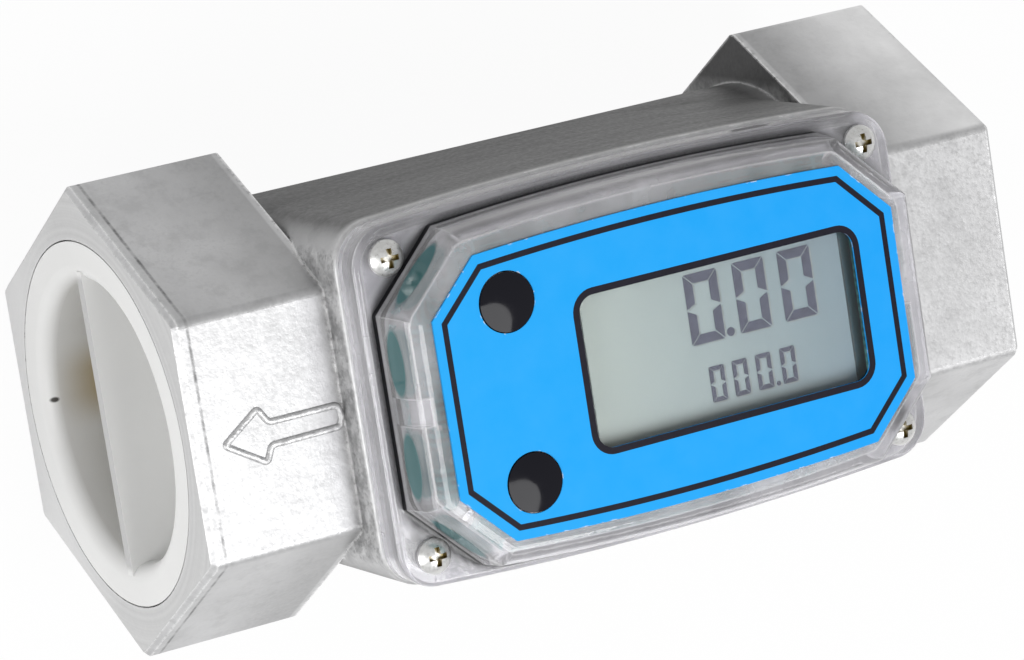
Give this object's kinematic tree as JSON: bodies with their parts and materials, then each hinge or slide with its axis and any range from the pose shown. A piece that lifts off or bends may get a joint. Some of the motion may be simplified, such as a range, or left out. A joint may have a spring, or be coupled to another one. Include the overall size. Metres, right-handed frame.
{
  "type": "turbine flow meter",
  "caption": "In-line turbine flow meter with a hexagonal threaded cast pipe body, a battery liquid crystal display under a clear cover, push buttons and a plugged outlet",
  "frame": {"origin": "middle of the bounding box's base, on the back flats of the hexagons, under the pipe axis", "axes": "+X along the pipe towards the inlet, +Z out through the display, +Y towards the display's upper edge"},
  "size_m": [0.1256, 0.0642, 0.0735],
  "materials": {
    "cast_aluminium": "fine cast grain, worn edges",
    "white_plastic": "smooth satin",
    "white_nylon": "moulded satin",
    "spring_steel": "plain",
    "rotor_plastic": "moulded satin",
    "bearing_plastic": "smooth",
    "magnet": "nickel plated",
    "stainless": "ground",
    "gasket_rubber": "matt",
    "clear_plastic": "clear, polished",
    "blue_label": "printed film",
    "zinc_screw": "bright zinc",
    "black_button": "polished",
    "black_plastic": "moulded",
    "board_green": "solder mask",
    "dark_frame": "moulded",
    "display_glass": "polarised front",
    "reflector": "satin",
    "strip_rubber": "striped silicone",
    "can_aluminium": "drawn can",
    "battery_case": "printed jacket",
    "contact_steel": "nickel plated",
    "copper_wire": "enamelled copper wire",
    "core_iron": "soft iron"
  },
  "bodies": {
    "housing": {"battery_1": "battery_case", "battery_2": "battery_case", "battery_tray": "black_plastic", "board_screws": "zinc_screw", "circuit_board": "board_green", "clock_crystal": "stainless", "contact_strips": "strip_rubber", "controller_chip": "black_plastic", "cover_gasket": "gasket_rubber", "cover_screws": "zinc_screw", "display_cover": "clear_plastic", "display_glass": "display_glass", "display_holder": "dark_frame", "display_reflector": "reflector", "face_label": "blue_label", "inlet_retaining_ring": "spring_steel", "inlet_support": "white_nylon", "lower_switch": "black_plastic", "meter_body": "cast_aluminium", "negative_springs": "contact_steel", "outlet_retaining_ring": "spring_steel", "outlet_support": "white_nylon", "pickup_core": "core_iron", "pickup_spool": "bearing_plastic", "pickup_winding": "copper_wire", "positive_contacts": "contact_steel", "rotor_shaft": "stainless", "storage_capacitor": "can_aluminium", "thrust_washers": "bearing_plastic", "upper_switch": "black_plastic"},
    "rotor": {"turbine_rotor": "rotor_plastic", "rotor_bushes": "bearing_plastic", "rotor_magnets": "magnet"},
    "upper_button": {"upper_button": "black_button"},
    "lower_button": {"lower_button": "black_button"},
    "plug": {"outlet_plug": "white_plastic"}
  },
  "joints": [
    {"name": "rotor_spin", "type": "hinge", "parent": "housing", "child": "rotor", "pos_m": [0.017, 0, 0.028], "axis": [-1, 0, 0], "continuous": true},
    {"name": "upper_button_press", "type": "slide", "parent": "housing", "child": "upper_button", "axis": [0, 0, -1], "range_m": [0, 0.0005], "stiffness_N_per_m": 2500, "springref_m": -0.0003},
    {"name": "lower_button_press", "type": "slide", "parent": "housing", "child": "lower_button", "axis": [0, 0, -1], "range_m": [0, 0.0005], "stiffness_N_per_m": 2500, "springref_m": -0.0003},
    {"name": "plug_pull", "type": "slide", "parent": "housing", "child": "plug", "axis": [-1, 0, 0], "range_m": [0, 0.03]}
  ]
}
